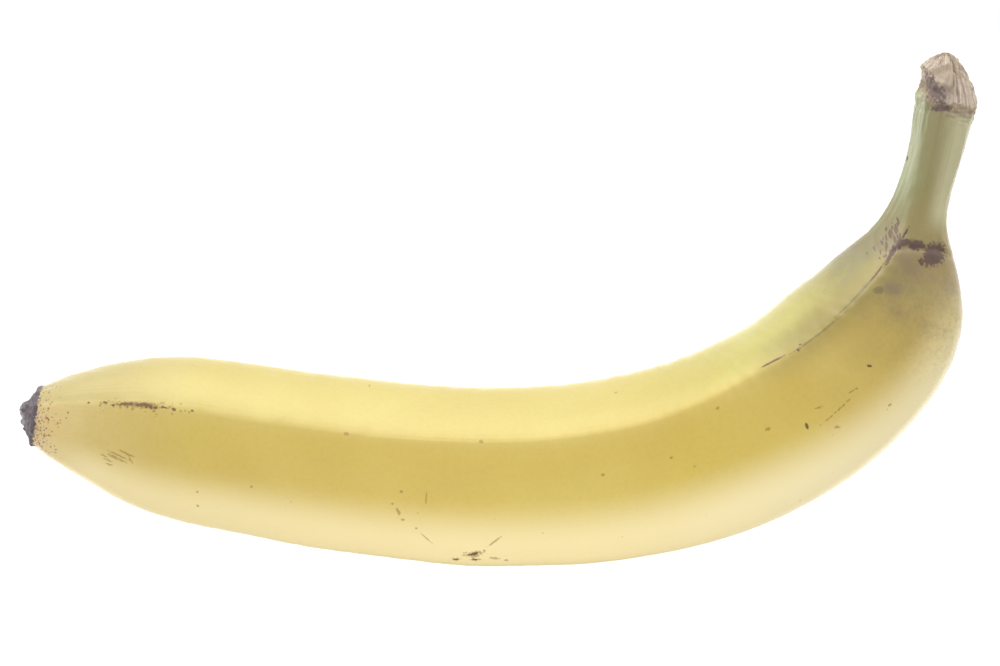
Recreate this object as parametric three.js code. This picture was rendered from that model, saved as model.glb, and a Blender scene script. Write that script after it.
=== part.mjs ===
// A ripe banana, balanced on the flat of its back: blossom end to the left (-X), stem rising at the right (+X).
// Millimetres, +Z up. The origin lies on the surface that it rests on, below the middle of its overall box.
// It grew as one piece, so skin, neck, stem and blossom scar are one closed solid.

import * as THREE from "three";

// Stations along the spine: how far along, where its middle is (x, z), and half the thickness there
// between the inside and the outside of the curve
const STATIONS = [
  [0, -90.3, 29.5, 5.4],
  [4, -86.4, 28.9, 7.6],
  [12, -78.3, 27.8, 11.2],
  [23, -67.4, 26.1, 14.7],
  [39, -51.7, 23.4, 16.15],
  [61, -30.1, 19.7, 16.62],
  [85, -6.3, 17.1, 16.95],
  [109, 17.7, 17.4, 17.35],
  [133, 41.2, 22.1, 17.78],
  [153, 59.4, 30.7, 17.82],
  [167, 69.8, 40.0, 17.1],
  [177, 75.6, 48.1, 15.8],
  [185, 78.5, 55.5, 13.1],
  [192, 80.5, 62.1, 9.2],
  [198, 81.9, 67.9, 6.1],
  [205, 83.7, 74.7, 5.0],
  [213, 85.8, 82.5, 5.2],
  [221, 87.2, 90.3, 5.75],
];
const SPINE_LENGTH = 221;
const STEM_WHOLE = 218; // the stem's skin is whole up to here
// How far the spine strays to the far side (+Y) along the way
const SWAY = [
  [0, -3.9],
  [60, -1.9],
  [130, -1.3],
  [185, -2.1],
  [221, -3.7],
];

// The five ridges, in degrees round the spine from the inside of the curve, towards the near side (-Y)
const RIDGE_ANGLES = [-6, 57, 140, 218, 290];
const RIDGE_CRESTS = [0.02, 0.035, 0.012, 0.012, 0.025]; // how far each stands up, as a share of the girth
const CREST_REACH = 13; // degrees over which a crest falls away
const CREST_ROUNDING = 2.5;
// The ridges drift round the spine, and the faces between them are flatter at the neck and stem
const TWIST = [
  [0, 2],
  [60, 0],
  [100, -3],
  [130, -7],
  [151, -10],
  [167, -6],
  [182, 0],
  [191, 8],
  [202, 6],
  [212, -5],
  [221, -10],
];
const FACE_FLATNESS = [
  [0, 2.8],
  [20, 3.8],
  [60, 5],
  [150, 5.2],
  [185, 5.5],
  [205, 6.5],
  [221, 6],
];

// The skin flattens a little where the fruit's weight presses it
const REST_Z = 0;

// The blossom scar: a low dome with the dried style near its middle and smaller stubs round it
const SCAR_DOME = 1.5;
const SCAR_STUBS = [
  { inward: 1.0, near: 0.8, width: 1.7, height: 1.3 },
  { inward: -1.6, near: 0.4, width: 0.9, height: 0.9 },
  { inward: -3.1, near: -0.6, width: 1.0, height: 0.6 },
];

// The stem's torn end, over where its skin is whole: a peak, and round it a rim of [angle, height, swell].
// The rim stands high where the skin tore off late. A face of swell 1 runs straight up to the peak.
const TORN_PEAK = { inward: 2.1, near: 0.5, height: 13.1 };
const TORN_RIM = [
  [0, 9.9, 1.1],
  [30, 9.8, 1.1],
  [55, 10.8, 1.1],
  [72, 12.2, 1.2],
  [92, 4.6, 1.9],
  [120, 4.2, 1.8],
  [150, 4.0, 1.7],
  [180, 4.0, 1.7],
  [205, 5.0, 1.6],
  [225, 7.0, 1.4],
  [255, 8.6, 1.2],
  [300, 9.6, 1.1],
  [360, 9.9, 1.1],
];

// How finely it is faceted
const FACETS_PER_FACE = 10;
const RINGS = 78;
const CAP_RINGS = 6;

const rad = THREE.MathUtils.degToRad;

// A smooth curve through [at, value] pairs: a natural cubic spline.
function smoothThrough(pairs) {
  const n = pairs.length;
  const bend = new Array(n).fill(0);
  const u = new Array(n).fill(0);
  for (let i = 1; i < n - 1; i++) {
    const [[a, va], [b, vb], [c, vc]] = pairs.slice(i - 1, i + 2);
    const share = (b - a) / (c - a);
    const p = share * bend[i - 1] + 2;
    bend[i] = (share - 1) / p;
    const jump = (vc - vb) / (c - b) - (vb - va) / (b - a);
    u[i] = ((6 * jump) / (c - a) - share * u[i - 1]) / p;
  }
  for (let i = n - 2; i > 0; i--) bend[i] = bend[i] * bend[i + 1] + u[i];
  return (at) => {
    let k = 1;
    while (k < n - 1 && at > pairs[k][0]) k++;
    const [[a, va], [c, vc]] = [pairs[k - 1], pairs[k]];
    const h = c - a;
    const right = (at - a) / h;
    const left = 1 - right;
    const curve = (left ** 3 - left) * bend[k - 1] + (right ** 3 - right) * bend[k];
    return left * va + right * vc + (curve * h * h) / 6;
  };
}

// Straight lines through [at, value] pairs.
function straightThrough(pairs) {
  return (at) => {
    let k = 1;
    while (k < pairs.length - 1 && at > pairs[k][0]) k++;
    const [[a, va], [c, vc]] = [pairs[k - 1], pairs[k]];
    return THREE.MathUtils.mapLinear(at, a, c, va, vc);
  };
}

const spineX = smoothThrough(STATIONS.map(([s, x]) => [s, x]));
const spineZ = smoothThrough(STATIONS.map(([s, , z]) => [s, z]));
const girth = smoothThrough(STATIONS.map(([s, , , half]) => [s, half]));
const sway = smoothThrough(SWAY);
const twist = smoothThrough(TWIST);
const flatness = smoothThrough(FACE_FLATNESS);
const tornRim = straightThrough(TORN_RIM.map(([angle, height]) => [angle, height]));
const tornSwell = straightThrough(TORN_RIM.map(([angle, , swell]) => [angle, swell]));

// Where the spine is at a distance along it, with the directions along it, into its curve and to the near side.
function spineFrame(s) {
  const at = new THREE.Vector3(spineX(s), sway(s), spineZ(s));
  const before = new THREE.Vector3(spineX(s - 0.5), sway(s - 0.5), spineZ(s - 0.5));
  const after = new THREE.Vector3(spineX(s + 0.5), sway(s + 0.5), spineZ(s + 0.5));
  const along = after.sub(before).normalize();
  const inward = new THREE.Vector3(0, -1, 0).cross(along).normalize();
  const near = along.clone().cross(inward);
  return { at, along, inward, near };
}

// The cross-section's reach at an angle round the spine: a rounded pentagon with a crest on each ridge.
function reach(angle, s) {
  const power = flatness(s);
  let faces = 0;
  let crest = 0;
  RIDGE_ANGLES.forEach((ridge, i) => {
    const next = i + 1 < RIDGE_ANGLES.length ? RIDGE_ANGLES[i + 1] : RIDGE_ANGLES[0] + 360;
    const half = rad(next - ridge) / 2;
    const facing = Math.cos(angle - rad(ridge + twist(s)) - half);
    if (facing > 0) faces += (facing / Math.cos(half)) ** power;
    const off = THREE.MathUtils.euclideanModulo(angle - rad(ridge + twist(s)) + Math.PI, 2 * Math.PI) - Math.PI;
    const rounded = Math.hypot(off, rad(CREST_ROUNDING)) - rad(CREST_ROUNDING);
    crest += RIDGE_CRESTS[i] * Math.exp(-rounded / rad(CREST_REACH));
  });
  return faces ** (-1 / power) + crest;
}

// A point of the skin: the section is sized and centred so that it spans the girth across the curve.
function skinPoint(s, angle, shrink = 1) {
  const inside = reach(0, s);
  const outside = reach(Math.PI, s);
  const size = (2 * girth(s)) / (inside + outside);
  const out = reach(angle, s) * size * shrink;
  const centring = ((outside - inside) / 2) * size * shrink;
  return { inward: out * Math.cos(angle) + centring, near: out * Math.sin(angle) };
}

function placed(s, { inward, near }, lift = 0) {
  const frame = spineFrame(s);
  const point = frame.at
    .addScaledVector(frame.inward, inward)
    .addScaledVector(frame.near, near)
    .addScaledVector(frame.along, lift);
  point.z = Math.max(point.z, REST_Z);
  return point;
}

// The angles of one ring's points: they follow the ridges, and gather beside them.
function ringAngles(s) {
  const angles = [];
  RIDGE_ANGLES.forEach((ridge, i) => {
    const next = i + 1 < RIDGE_ANGLES.length ? RIDGE_ANGLES[i + 1] : RIDGE_ANGLES[0] + 360;
    for (let k = 0; k < FACETS_PER_FACE; k++) {
      const even = k / FACETS_PER_FACE;
      const gathered = (1 - Math.cos(Math.PI * even)) / 2;
      angles.push(rad(ridge + twist(s) + (next - ridge) * (even + gathered) * 0.5));
    }
  });
  return angles;
}

// How far the blossom scar stands out of its rim.
function scarHeight(share, { inward, near }) {
  const stubs = SCAR_STUBS.map((stub) => {
    const off = Math.hypot(inward - stub.inward, near - stub.near) / stub.width;
    return stub.height * Math.exp(-(off ** 4));
  });
  return SCAR_DOME * (1 - share ** 2) + Math.max(...stubs) * (1 - share ** 6);
}

// A point of the torn end: it lies between the rim at that angle and the peak.
function tornPoint(share, angle) {
  const degrees = THREE.MathUtils.euclideanModulo(THREE.MathUtils.radToDeg(angle), 360);
  const rim = { ...skinPoint(SPINE_LENGTH, angle), height: tornRim(degrees) };
  const climb = 1 - share ** tornSwell(degrees);
  const inward = THREE.MathUtils.lerp(TORN_PEAK.inward, rim.inward, share);
  const near = THREE.MathUtils.lerp(TORN_PEAK.near, rim.near, share);
  const height = THREE.MathUtils.lerp(rim.height, TORN_PEAK.height, climb);
  return placed(STEM_WHOLE, { inward, near }, height);
}

function bananaGeometry() {
  const columns = RIDGE_ANGLES.length * FACETS_PER_FACE;
  const rings = [];

  // The scar, from its middle out to its rim
  for (let k = 1; k < CAP_RINGS; k++) {
    const share = k / CAP_RINGS;
    rings.push(
      ringAngles(0).map((angle) => {
        const point = skinPoint(0, angle, share);
        return placed(0, point, -scarHeight(share, point));
      }),
    );
  }
  // The skin, with rings gathered towards both ends
  for (let k = 0; k <= RINGS; k++) {
    const even = k / RINGS;
    const gathered = (1 - Math.cos(Math.PI * even)) / 2;
    const s = STEM_WHOLE * (0.55 * even + 0.45 * gathered);
    rings.push(ringAngles(s).map((angle) => placed(s, skinPoint(s, angle))));
  }
  // The torn end, up its outside to the rim and then in to its peak
  const end = ringAngles(SPINE_LENGTH);
  rings.push(
    end.map((angle) => placed(STEM_WHOLE, skinPoint(STEM_WHOLE, angle)).lerp(tornPoint(1, angle), 0.5)),
  );
  for (let k = CAP_RINGS; k > 0; k--) {
    rings.push(end.map((angle) => tornPoint(k / CAP_RINGS, angle)));
  }

  const points = rings.flat();
  const middle = { inward: 0, near: 0 };
  const scarMiddle = points.push(placed(0, middle, -scarHeight(0, middle))) - 1;
  const peak = points.push(tornPoint(0, 0)) - 1;

  const faces = [];
  for (let i = 0; i < columns; i++) {
    const next = (i + 1) % columns;
    for (let k = 0; k < rings.length - 1; k++) {
      const [a, b] = [k * columns + i, k * columns + next];
      faces.push(a, b, b + columns, a, b + columns, a + columns);
    }
    const last = (rings.length - 1) * columns;
    faces.push(next, i, scarMiddle, last + i, last + next, peak);
  }

  const geometry = new THREE.BufferGeometry().setFromPoints(points);
  geometry.setIndex(faces);
  geometry.computeVertexNormals();
  return geometry;
}

const banana = new THREE.Mesh(
  bananaGeometry(),
  new THREE.MeshStandardMaterial({ color: 0xe3c765, roughness: 0.5, metalness: 0 }),
);
banana.name = "banana";

const part = new THREE.Group();
part.add(banana);

export default part;
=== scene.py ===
import math
import bpy
import numpy as np
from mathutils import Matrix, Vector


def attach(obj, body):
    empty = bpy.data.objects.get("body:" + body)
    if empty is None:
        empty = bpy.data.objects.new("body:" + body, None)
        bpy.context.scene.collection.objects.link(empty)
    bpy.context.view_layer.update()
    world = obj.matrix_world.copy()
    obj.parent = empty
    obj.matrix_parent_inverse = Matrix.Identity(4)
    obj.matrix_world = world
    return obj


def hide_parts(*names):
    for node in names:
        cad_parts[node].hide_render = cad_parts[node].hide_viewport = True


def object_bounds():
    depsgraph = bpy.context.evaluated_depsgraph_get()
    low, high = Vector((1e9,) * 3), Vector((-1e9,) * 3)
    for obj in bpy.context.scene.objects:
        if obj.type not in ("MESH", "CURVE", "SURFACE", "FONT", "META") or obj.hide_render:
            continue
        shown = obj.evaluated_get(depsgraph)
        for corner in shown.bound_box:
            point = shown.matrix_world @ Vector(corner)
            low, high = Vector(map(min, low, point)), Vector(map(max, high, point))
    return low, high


# A ripe banana balanced on the back of its curve, on a bright white table.
# Its form repeats the numbers of the solid, in millimetres and degrees, and adds the fine surface.

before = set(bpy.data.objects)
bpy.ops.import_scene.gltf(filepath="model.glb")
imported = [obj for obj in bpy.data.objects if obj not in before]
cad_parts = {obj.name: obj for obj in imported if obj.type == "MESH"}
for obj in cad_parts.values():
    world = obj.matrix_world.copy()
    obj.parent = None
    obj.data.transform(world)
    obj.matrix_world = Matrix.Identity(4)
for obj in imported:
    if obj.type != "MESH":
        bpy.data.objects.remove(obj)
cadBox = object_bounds()
print("frame loaded")

form = {
    # how far along the spine, its middle there (x, z) and half the thickness across the curve
    "stations": [
        (0, -90.3, 29.5, 5.4), (4, -86.4, 28.9, 7.6), (12, -78.3, 27.8, 11.2), (23, -67.4, 26.1, 14.7),
        (39, -51.7, 23.4, 16.15), (61, -30.1, 19.7, 16.62), (85, -6.3, 17.1, 16.95), (109, 17.7, 17.4, 17.35),
        (133, 41.2, 22.1, 17.78), (153, 59.4, 30.7, 17.82), (167, 69.8, 40.0, 17.1), (177, 75.6, 48.1, 15.8),
        (185, 78.5, 55.5, 13.1), (192, 80.5, 62.1, 9.2), (198, 81.9, 67.9, 6.1), (205, 83.7, 74.7, 5.0),
        (213, 85.8, 82.5, 5.2), (221, 87.2, 90.3, 5.75),
    ],
    "sway": [(0, -3.9), (60, -1.9), (130, -1.3), (185, -2.1), (221, -3.7)],
    "stemWhole": 218,  # the stem's skin is whole up to here
    "stemEnd": 221,
    "ridges": [-6, 57, 140, 218, 290],  # round the spine from the inside of the curve, towards the near side
    "crests": [0.02, 0.035, 0.012, 0.012, 0.025],
    "crestReach": 13,
    "crestRounding": 2.5,
    "twist": [(0, 2), (60, 0), (100, -3), (130, -7), (151, -10), (167, -6), (182, 0), (191, 8), (202, 6),
              (212, -5), (221, -10)],
    "faceFlatness": [(0, 2.8), (20, 3.8), (60, 5), (150, 5.2), (185, 5.5), (205, 6.5), (221, 6)],
    "scarDome": 1.5,
    # inward, near, width and height of each
    "scarStubs": [(1.0, 0.8, 1.7, 1.3), (-1.6, 0.4, 0.9, 0.9), (-3.1, -0.6, 1.0, 0.6)],
    "tornPeak": (2.1, 0.5, 13.1),  # inward, near, height over the whole stem
    # the torn rim: angle, height, and how far the face from there to the peak swells
    "tornRim": [
        (0, 9.9, 1.1), (30, 9.8, 1.1), (55, 10.8, 1.1), (72, 12.2, 1.2), (92, 4.6, 1.9), (120, 4.2, 1.8),
        (150, 4.0, 1.7), (180, 4.0, 1.7), (205, 5.0, 1.6), (225, 7.0, 1.4), (255, 8.6, 1.2), (300, 9.6, 1.1),
        (360, 9.9, 1.1),
    ],
}

# The fine surface of the skin: what a hand would feel
relief = {
    "columnsPerFace": 34,
    # how far apart the rings are along the way
    "ringGaps": [(0, 0.16), (5, 0.25), (10, 0.5), (30, 0.62), (180, 0.6), (188, 0.3), (198, 0.3), (203, 0.42),
                 (212, 0.3), (218, 0.22)],
    "capRings": 24,
    "wallRings": 34,
    "sharpOver": 62,  # degrees between faces that make a sharp edge
    "waviness": 0.06,
    "fineWaviness": 0.02,
    "crestKnots": 0.02,
    "seamDepth": 0.05,
    "collarAt": 193.8,
    "collarDepth": 0.16,
    "collarSwell": 0.25,  # of that depth, beside it
    "ribDepth": 0.03,
    "driedWrinkles": 0.05,
    "scarLip": 0.3,
    "scarPucker": 0.12,
    "scarWrinkles": 0.05,
    "scarCrumple": 0.12,
    "scarGroove": 0.35,
    "stemLip": 0.3,
    "wallHollow": 0.45,
    "wallCreases": (0.1, 0.07),  # broad and narrow
    "fibreDepth": 0.32,
    "fibreSpread": 0.45,  # of that depth, sideways
    "fibreRise": 0.5,  # and upwards
}

# The map along the skin goes on past both of its ends, in the same count of millimetres
skinMap = {
    "start": -10.0,
    "length": 260.0,
    "scarMiddle": -5.4,
    "tornRim": 236,
    "tornPeak": 244,
    "tubeRadius": 17.0,  # of the same map bent into a tube, for patterns without a seam
}

# The ridges once round, with the first one again at the end
ridges = np.array(form["ridges"] + [form["ridges"][0] + 360], float)
faceCount = len(form["ridges"])


# A smooth curve through all these places
def naturalCurve(pairs):
    at, value = np.array(pairs, float).T
    count, gap = len(at), np.diff(at)
    matrix, right = np.eye(count), np.zeros(count)
    for i in range(1, count - 1):
        matrix[i, i - 1:i + 2] = gap[i - 1], 2 * (gap[i - 1] + gap[i]), gap[i]
        right[i] = 6 * ((value[i + 1] - value[i]) / gap[i] - (value[i] - value[i - 1]) / gap[i - 1])
    bend = np.linalg.solve(matrix, right)

    def curve(x):
        k = np.clip(np.searchsorted(at, x) - 1, 0, count - 2)
        b = (x - at[k]) / gap[k]
        a = 1 - b
        bending = (a**3 - a) * bend[k] + (b**3 - b) * bend[k + 1]
        return a * value[k] + b * value[k + 1] + bending * gap[k] ** 2 / 6

    return curve


spineX = naturalCurve([(s, x) for s, x, z, half in form["stations"]])
spineZ = naturalCurve([(s, z) for s, x, z, half in form["stations"]])
girth = naturalCurve([(s, half) for s, x, z, half in form["stations"]])
sway = naturalCurve(form["sway"])
twist = naturalCurve(form["twist"])
flatness = naturalCurve(form["faceFlatness"])


def smooth(value, low, high):
    t = np.clip((value - low) / (high - low), 0, 1)
    return t * t * (3 - 2 * t)


def bump(value, middle, width):
    return np.exp(-((value - middle) / width) ** 2)


# Waves that meet all round the fruit: turns are whole numbers, lengths are along the fruit
def ripple(angle, along, seed, turns, lengths, count=18):
    random = np.random.default_rng(seed)
    total = 0
    for _ in range(count):
        turn = random.integers(turns[0], turns[1] + 1)
        rate = 2 * np.pi / random.uniform(*lengths) * random.choice([-1, 1])
        total = total + np.sin(turn * angle + rate * along + random.uniform(0, 2 * np.pi))
    return total / math.sqrt(count / 2)


def spineFrame(s):
    def point(v):
        return np.stack([spineX(v), sway(v), spineZ(v)], -1)

    along = point(s + 0.5) - point(s - 0.5)
    along /= np.linalg.norm(along, axis=-1, keepdims=True)
    inward = np.cross([0, -1, 0], along)
    inward /= np.linalg.norm(inward, axis=-1, keepdims=True)
    return point(s), along, inward, np.cross(along, inward)


# A place round the fruit counts in faces: 1.5 is the middle of the face between ridges 1 and 2
def angleOf(around, s):
    face = np.clip(np.floor(around).astype(int), 0, faceCount - 1)
    return np.radians(ridges[face] + (around - face) * np.diff(ridges)[face] + twist(s))


def reach(angle, s):
    power = flatness(s)
    faces, crest = 0, 0
    rounding = math.radians(form["crestRounding"])
    for i, high in enumerate(form["crests"]):
        half = math.radians(ridges[i + 1] - ridges[i]) / 2
        ridgeAngle = np.radians(ridges[i] + twist(s))
        facing = np.maximum(np.cos(angle - ridgeAngle - half), 0) / math.cos(half)
        faces = faces + facing ** power
        off = (angle - ridgeAngle + np.pi) % (2 * np.pi) - np.pi
        rounded = np.hypot(off, rounding) - rounding
        crest = crest + high * np.exp(-rounded / math.radians(form["crestReach"]))
    return faces ** (-1 / power) + crest


# Where the skin is across its section, raised by its relief (out), or a share of the way out to it
def skinOffset(s, angle, share, out):
    inside, outside = reach(0 * angle, s), reach(0 * angle + np.pi, s)
    size = 2 * girth(s) / (inside + outside)
    reached = (reach(angle, s) * size + out) * share
    centring = (outside - inside) / 2 * size * share
    return reached * np.cos(angle) + centring, reached * np.sin(angle)


def placed(s, inward, near, lift=0):
    at, alongDir, inwardDir, nearDir = spineFrame(s)
    lift = np.asarray(lift, float)
    point = at + inwardDir * np.asarray(inward)[..., None] + nearDir * np.asarray(near)[..., None] \
        + alongDir * (lift + 0 * np.asarray(inward))[..., None]
    point[..., 2] = np.maximum(point[..., 2], 0)
    return point


def skinRelief(s, around, angle):
    r = relief
    out = r["waviness"] * ripple(angle, s, 3, (1, 4), (16, 60)) * smooth(s, 2, 16)
    out *= 1 - 0.8 * smooth(s, 185, 196)
    out += r["fineWaviness"] * ripple(angle, s, 5, (5, 16), (3, 9)) * smooth(s, 1, 8)
    # the crests are a little knotty
    toCrest = np.abs(around - np.round(around))
    knots = ripple(0 * angle, s + 37 * np.round(around), 7, (1, 2), (2, 9))
    out += r["crestKnots"] * bump(toCrest, 0, 0.08) * knots
    # a seam runs down the near ridge from the neck
    seam = smooth(s, 152, 190) * (1 - smooth(s, 193.5, 194.5))
    out -= r["seamDepth"] * seam * bump(around - 0.97, 0, 0.022)
    # the collar, where the stem meets the fruit
    collar = r["collarAt"] + 0.5 * ripple(angle, 0 * s, 11, (2, 6), (50, 60)) + 0.9 * np.sin(angle - 2.4)
    depth = r["collarDepth"] * (0.35 + 0.65 * bump(around, 1.55, 0.75))
    out -= depth * bump(s - collar, 0, 0.5)
    out += r["collarSwell"] * depth * bump(s - collar, -1.3, 1.1)
    # ribs along the stem
    ribs = smooth(s, 190, 200)
    out += r["ribDepth"] * ribs * ripple(angle, s, 13, (9, 26), (60, 160))
    # the stem dries out and wrinkles just below its torn end
    dried = smooth(s, 213, 217.5)
    out += dried * r["driedWrinkles"] * ripple(angle, s, 19, (12, 34), (6, 20))
    # the skin puckers round the blossom scar
    out += r["scarLip"] * bump(s, 0.35, 0.5) * (1 + 0.5 * ripple(angle, 0 * s, 23, (3, 11), (50, 60)))
    out -= r["scarPucker"] * bump(s, 1.7, 0.8)
    out += r["scarWrinkles"] * (1 - smooth(s, 0.5, 7)) * ripple(angle, s, 29, (8, 22), (10, 30))
    return out


def scarHeight(share, inward, near):
    stubs = []
    for stubInward, stubNear, width, high in form["scarStubs"]:
        away = np.hypot(inward - stubInward, near - stubNear) / width
        stubs.append(high * np.exp(-(away**4)))
    return form["scarDome"] * (1 - share**2) + np.max(stubs, axis=0) * (1 - share**6)


def tornRimAt(angle):
    degrees = np.degrees(angle) % 360
    table = np.array(form["tornRim"])
    height, swell = np.interp(degrees, table[:, 0], table[:, 1]), np.interp(degrees, table[:, 0], table[:, 2])
    low = np.clip((9 - height) / 4, 0, 1)
    ragged = 0.1 + 0.25 * low
    height = height + ragged * ripple(angle, 0 * angle, 31, (9, 40), (50, 60), 26)
    return height, swell, low


def tornPoint(share, angle):
    height, swell, low = tornRimAt(angle)
    s = form["stemEnd"] + 0 * angle
    rimInward, rimNear = skinOffset(s, angle, 1, relief["stemLip"] * 0.4)
    climb = 1 - share**swell
    peakInward, peakNear, peakHeight = form["tornPeak"]
    inward = peakInward + (rimInward - peakInward) * share
    near = peakNear + (rimNear - peakNear) * share
    top = height + (peakHeight - height) * climb
    # torn fibres run up the face
    middle = np.sin(np.pi * np.clip(share, 0, 1)) ** 0.6
    groove = ripple(angle, 6 * share, 37, (14, 44), (5, 30), 26)
    shred = ripple(angle, 6 * share, 41, (5, 30), (0.7, 2.4), 30)
    fibres = relief["fibreDepth"] * middle * (groove * 0.7 + shred * (0.35 + 0.5 * low))
    inward = inward + relief["fibreSpread"] * fibres * np.cos(angle)
    near = near + relief["fibreSpread"] * fibres * np.sin(angle)
    return placed(form["stemWhole"] + 0 * angle, inward, near, top + relief["fibreRise"] * fibres), top


def ringStations():
    gapAt, gap = np.array(relief["ringGaps"], float).T
    s, stations = 0.0, []
    while s < form["stemWhole"] - 0.1:
        stations.append(s)
        s += float(np.interp(s, gapAt, gap))
    return np.array(stations + [form["stemWhole"]])


# Columns gather beside the ridges
def columnPlaces():
    even = np.arange(relief["columnsPerFace"]) / relief["columnsPerFace"]
    gathered = (1 - np.cos(np.pi * even)) / 2
    return np.concatenate([face + (0.6 * even + 0.4 * gathered) for face in range(faceCount)])


# Millimetres round the skin from the near ridge, for marks that keep their shape
girthTable = girth(np.arange(0, 222.0))


def spanOf(around, along):
    degrees = np.interp(around, range(faceCount + 1), ridges - ridges[1])
    return math.radians(degrees) * float(girthTable[int(min(max(along, 0), 221))])


def meshFrom(name, points, faces):
    mesh = bpy.data.meshes.new(name)
    mesh.from_pydata((points / 1000).tolist(), [], faces)
    mesh.update()
    piece = bpy.data.objects.new(name, mesh)
    bpy.context.scene.collection.objects.link(piece)
    return piece


def buildSkin():
    around = columnPlaces()
    columns = len(around)
    rings, startAlong, endAlong = [], [], []

    def addRing(points, start, end=None):
        rings.append(points)
        startAlong.append(start + np.zeros(columns))
        endAlong.append((start if end is None else end) + np.zeros(columns))

    zero = np.zeros(columns)
    angle = angleOf(around, zero)
    rimOut = skinRelief(zero, around, angle)
    for k in range(1, relief["capRings"]):
        share = k / relief["capRings"]
        inward, near = skinOffset(zero, angle, share, rimOut)
        crumple = relief["scarCrumple"] * ripple(angle, 7 * share, 43, (4, 17), (1.2, 4)) * (1 - share**3)
        crumple -= relief["scarGroove"] * bump(share, 0.86, 0.07)
        addRing(placed(zero, inward, near, -scarHeight(share, inward, near) - crumple),
                skinMap["scarMiddle"] * (1 - share))
    for s in ringStations():
        sHere = s + zero
        angle = angleOf(around, sHere)
        inward, near = skinOffset(sHere, angle, 1, skinRelief(sHere, around, angle))
        addRing(placed(sHere, inward, near), s)
    # up the wall of the torn end
    whole = rings[-1]
    endAngle = angleOf(around, zero + form["stemEnd"])
    rim, rimTop = tornPoint(1.0, endAngle)
    outDir = np.cos(endAngle)[:, None] * spineFrame(zero + form["stemWhole"])[2] \
        + np.sin(endAngle)[:, None] * spineFrame(zero + form["stemWhole"])[3]
    broadCrease, narrowCrease = relief["wallCreases"]
    for k in range(1, relief["wallRings"] + 1):
        t = k / relief["wallRings"]
        height = rimTop * t
        lip = relief["stemLip"] * bump(height, 3.9, 0.7) * smooth(rimTop, 3.5, 7)
        hollow = smooth(height, 4.6, 6) * (1 - smooth(t, 0.85, 1)) * smooth(rimTop, 6, 8)
        lip = lip - relief["wallHollow"] * hollow
        crease = broadCrease * ripple(endAngle, height, 47, (8, 30), (3, 9))
        crease += narrowCrease * ripple(endAngle, height, 53, (2, 9), (0.8, 2))
        wall = whole + (rim - whole) * t + outDir * (lip + crease * smooth(t, 0, 0.3))[:, None]
        atRim = k == relief["wallRings"]
        endHere = form["stemWhole"] + height
        addRing(wall, skinMap["tornRim"] if atRim else endHere, endHere)
    for k in range(relief["capRings"] - 1, 0, -1):
        share = k / relief["capRings"]
        towardsPeak = (skinMap["tornPeak"] - skinMap["tornRim"]) * (1 - share)
        addRing(tornPoint(share, endAngle)[0], skinMap["tornRim"] + towardsPeak)

    scarInward, scarNear = np.zeros(1), np.zeros(1)
    scar = placed(np.zeros(1), scarInward, scarNear, -scarHeight(0.0, scarInward, scarNear))
    peak = tornPoint(0.0, np.zeros(1))[0]
    points = np.concatenate(rings + [scar, peak])
    # no fold of the fine surface stands out of the solid's own box
    points = np.clip(points, *(np.array(cadBox) * 1000))
    scarIndex, peakIndex = len(points) - 2, len(points) - 1

    faces, uvs, spans = [], [], []
    last = (len(rings) - 1) * columns

    def lay(*corners):
        for place, along in corners:
            uvs.append((place / faceCount, (along - skinMap["start"]) / skinMap["length"]))
            spans.append((spanOf(place, along), along))

    for k in range(len(rings) - 1):
        for i in range(columns):
            j = (i + 1) % columns
            left, right = around[i], around[j] if j else faceCount
            a, b = k * columns + i, k * columns + j
            faces.append((a, b, b + columns, a + columns))
            low, high = startAlong[k], endAlong[k + 1]
            lay((left, low[i]), (right, low[j]), (right, high[j]), (left, high[i]))
    for i in range(columns):
        j = (i + 1) % columns
        left, right = around[i], around[j] if j else faceCount
        middle = (left + right) / 2
        faces.append((j, i, scarIndex))
        lay((right, startAlong[0][j]), (left, startAlong[0][i]), (middle, skinMap["scarMiddle"]))
        faces.append((last + i, last + j, peakIndex))
        lay((left, endAlong[-1][i]), (right, endAlong[-1][j]), (middle, skinMap["tornPeak"]))

    piece = meshFrom("bananaSkin", points, faces)
    for name, values in (("skinMap", uvs), ("skinSpan", spans)):
        layer = piece.data.uv_layers.new(name=name)
        layer.data.foreach_set("uv", np.array(values, np.float32).ravel())
    piece.data.shade_smooth()
    piece.data.set_sharp_from_angle(angle=math.radians(relief["sharpOver"]))
    triangles = sum(len(face) - 2 for face in faces)
    print("skin:", len(rings), "rings,", triangles, "triangles")
    return piece


skin = buildSkin()
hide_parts("banana")
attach(skin, "root")

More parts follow.
